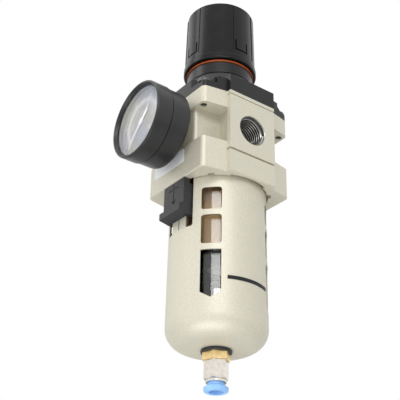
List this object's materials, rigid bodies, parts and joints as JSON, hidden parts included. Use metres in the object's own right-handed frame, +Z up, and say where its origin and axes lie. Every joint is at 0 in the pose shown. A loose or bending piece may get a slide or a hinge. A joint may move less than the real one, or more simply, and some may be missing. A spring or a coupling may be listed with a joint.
{
  "type": "inline filter regulator",
  "caption": "Inline air filter regulator with a locking adjusting knob, dial gauge, clear bowl in a windowed guard and a push-in drain.",
  "frame": {"origin": "middle of the inlet port's mouth, on the flat inlet face", "axes": "+X along the flow from inlet to outlet, +Z up towards the knob, -Y towards the gauge"},
  "size_m": [0.07, 0.1012, 0.2689],
  "materials": {
    "beige_paint": "satin, fine orange peel",
    "black_plastic": "fine-grained moulding",
    "grey_plastic": "satin moulding",
    "orange_plastic": "satin",
    "zinc_steel": "zinc plated",
    "spring_steel": "drawn wire",
    "brass": "machined",
    "nickel_brass": "nickel plated",
    "aluminium": "turned",
    "black_rubber": "smooth moulding",
    "clear_bowl": "clear moulding",
    "porous_plastic": "sintered, porous",
    "white_plastic": "natural moulding",
    "blue_plastic": "satin moulding",
    "clear_lens": "polished",
    "dial_white": "printed face",
    "pointer_white": "painted"
  },
  "bodies": {
    "housing": {"body_casting": "beige_paint", "bonnet": "black_plastic", "bonnet_screws": "zinc_steel", "colour_band": "orange_plastic", "diaphragm": "black_rubber", "adjusting_spring": "spring_steel", "valve_guide": "white_plastic", "valve_spring": "spring_steel", "deflector": "black_plastic", "filter_element": "porous_plastic", "element_retainer": "black_plastic", "gauge_stem": "brass", "gauge_case": "black_plastic", "gauge_bezel": "black_plastic", "gauge_lens": "clear_lens", "gauge_dial": "dial_white", "dial_ring": "dial_white", "rear_plug": "zinc_steel"},
    "screw": {"adjusting_screw": "zinc_steel"},
    "knob": {"knob": "black_plastic"},
    "spring_seat": {"spring_seat": "brass"},
    "valve": {"diaphragm_plate": "aluminium", "relief_seat": "brass", "valve_rod": "brass", "valve_seal": "black_rubber"},
    "bowl_unit": {"bowl_guard": "beige_paint", "bowl": "clear_bowl", "bowl_seal": "black_rubber", "drain_guide": "white_plastic", "drain_washer": "black_rubber", "drain_nut": "brass", "drain_fitting": "nickel_brass", "tube_seal": "black_rubber", "grab_ring": "zinc_steel", "lock_spring": "spring_steel"},
    "lock_button": {"lock_button": "grey_plastic"},
    "drain_float": {"drain_float": "porous_plastic"},
    "release_ring": {"release_ring": "blue_plastic"},
    "gauge_pointer": {"gauge_pointer": "pointer_white"}
  },
  "joints": [
    {"name": "knob_turn", "type": "hinge", "parent": "housing", "child": "screw", "pos_m": [0.035, 0, 0.095], "axis": [0, 0, -1], "range_deg": [0, 1800]},
    {"name": "knob_lock", "type": "slide", "parent": "screw", "child": "knob", "axis": [0, 0, -1], "range_m": [0, 0.0025]},
    {"name": "seat_travel", "type": "slide", "parent": "housing", "child": "spring_seat", "axis": [0, 0, -1], "range_m": [0, 0.0075], "deforming": ["adjusting_spring"]},
    {"name": "valve_lift", "type": "slide", "parent": "housing", "child": "valve", "axis": [0, 0, -1], "range_m": [0, 0.001], "stiffness_N_per_m": 1000, "springref_m": -0.005, "deforming": ["diaphragm", "valve_spring"]},
    {"name": "bowl_turn", "type": "hinge", "parent": "housing", "child": "bowl_unit", "pos_m": [0.035, 0, -0.03], "axis": [0, 0, 1], "range_deg": [-45, 0]},
    {"name": "lock_button_slide", "type": "slide", "parent": "bowl_unit", "child": "lock_button", "axis": [0, 0, -1], "range_m": [0, 0.005], "stiffness_N_per_m": 300, "springref_m": -0.005, "deforming": ["lock_spring"]},
    {"name": "float_lift", "type": "slide", "parent": "bowl_unit", "child": "drain_float", "axis": [0, 0, 1], "range_m": [0, 0.004]},
    {"name": "release_push", "type": "slide", "parent": "bowl_unit", "child": "release_ring", "axis": [0, 0, 1], "range_m": [0, 0.0012], "stiffness_N_per_m": 500, "springref_m": -0.002},
    {"name": "pointer_turn", "type": "hinge", "parent": "housing", "child": "gauge_pointer", "pos_m": [0.035, -0.0602, 0], "axis": [0, 1, 0], "range_deg": [0, 270], "stiffness_Nm_per_rad": 0.002, "springref_deg": -5.73}
  ],
  "couplings": [
    {"joint": "seat_travel", "follows": "knob_turn", "m_per_rad": 0.00023873}
  ]
}
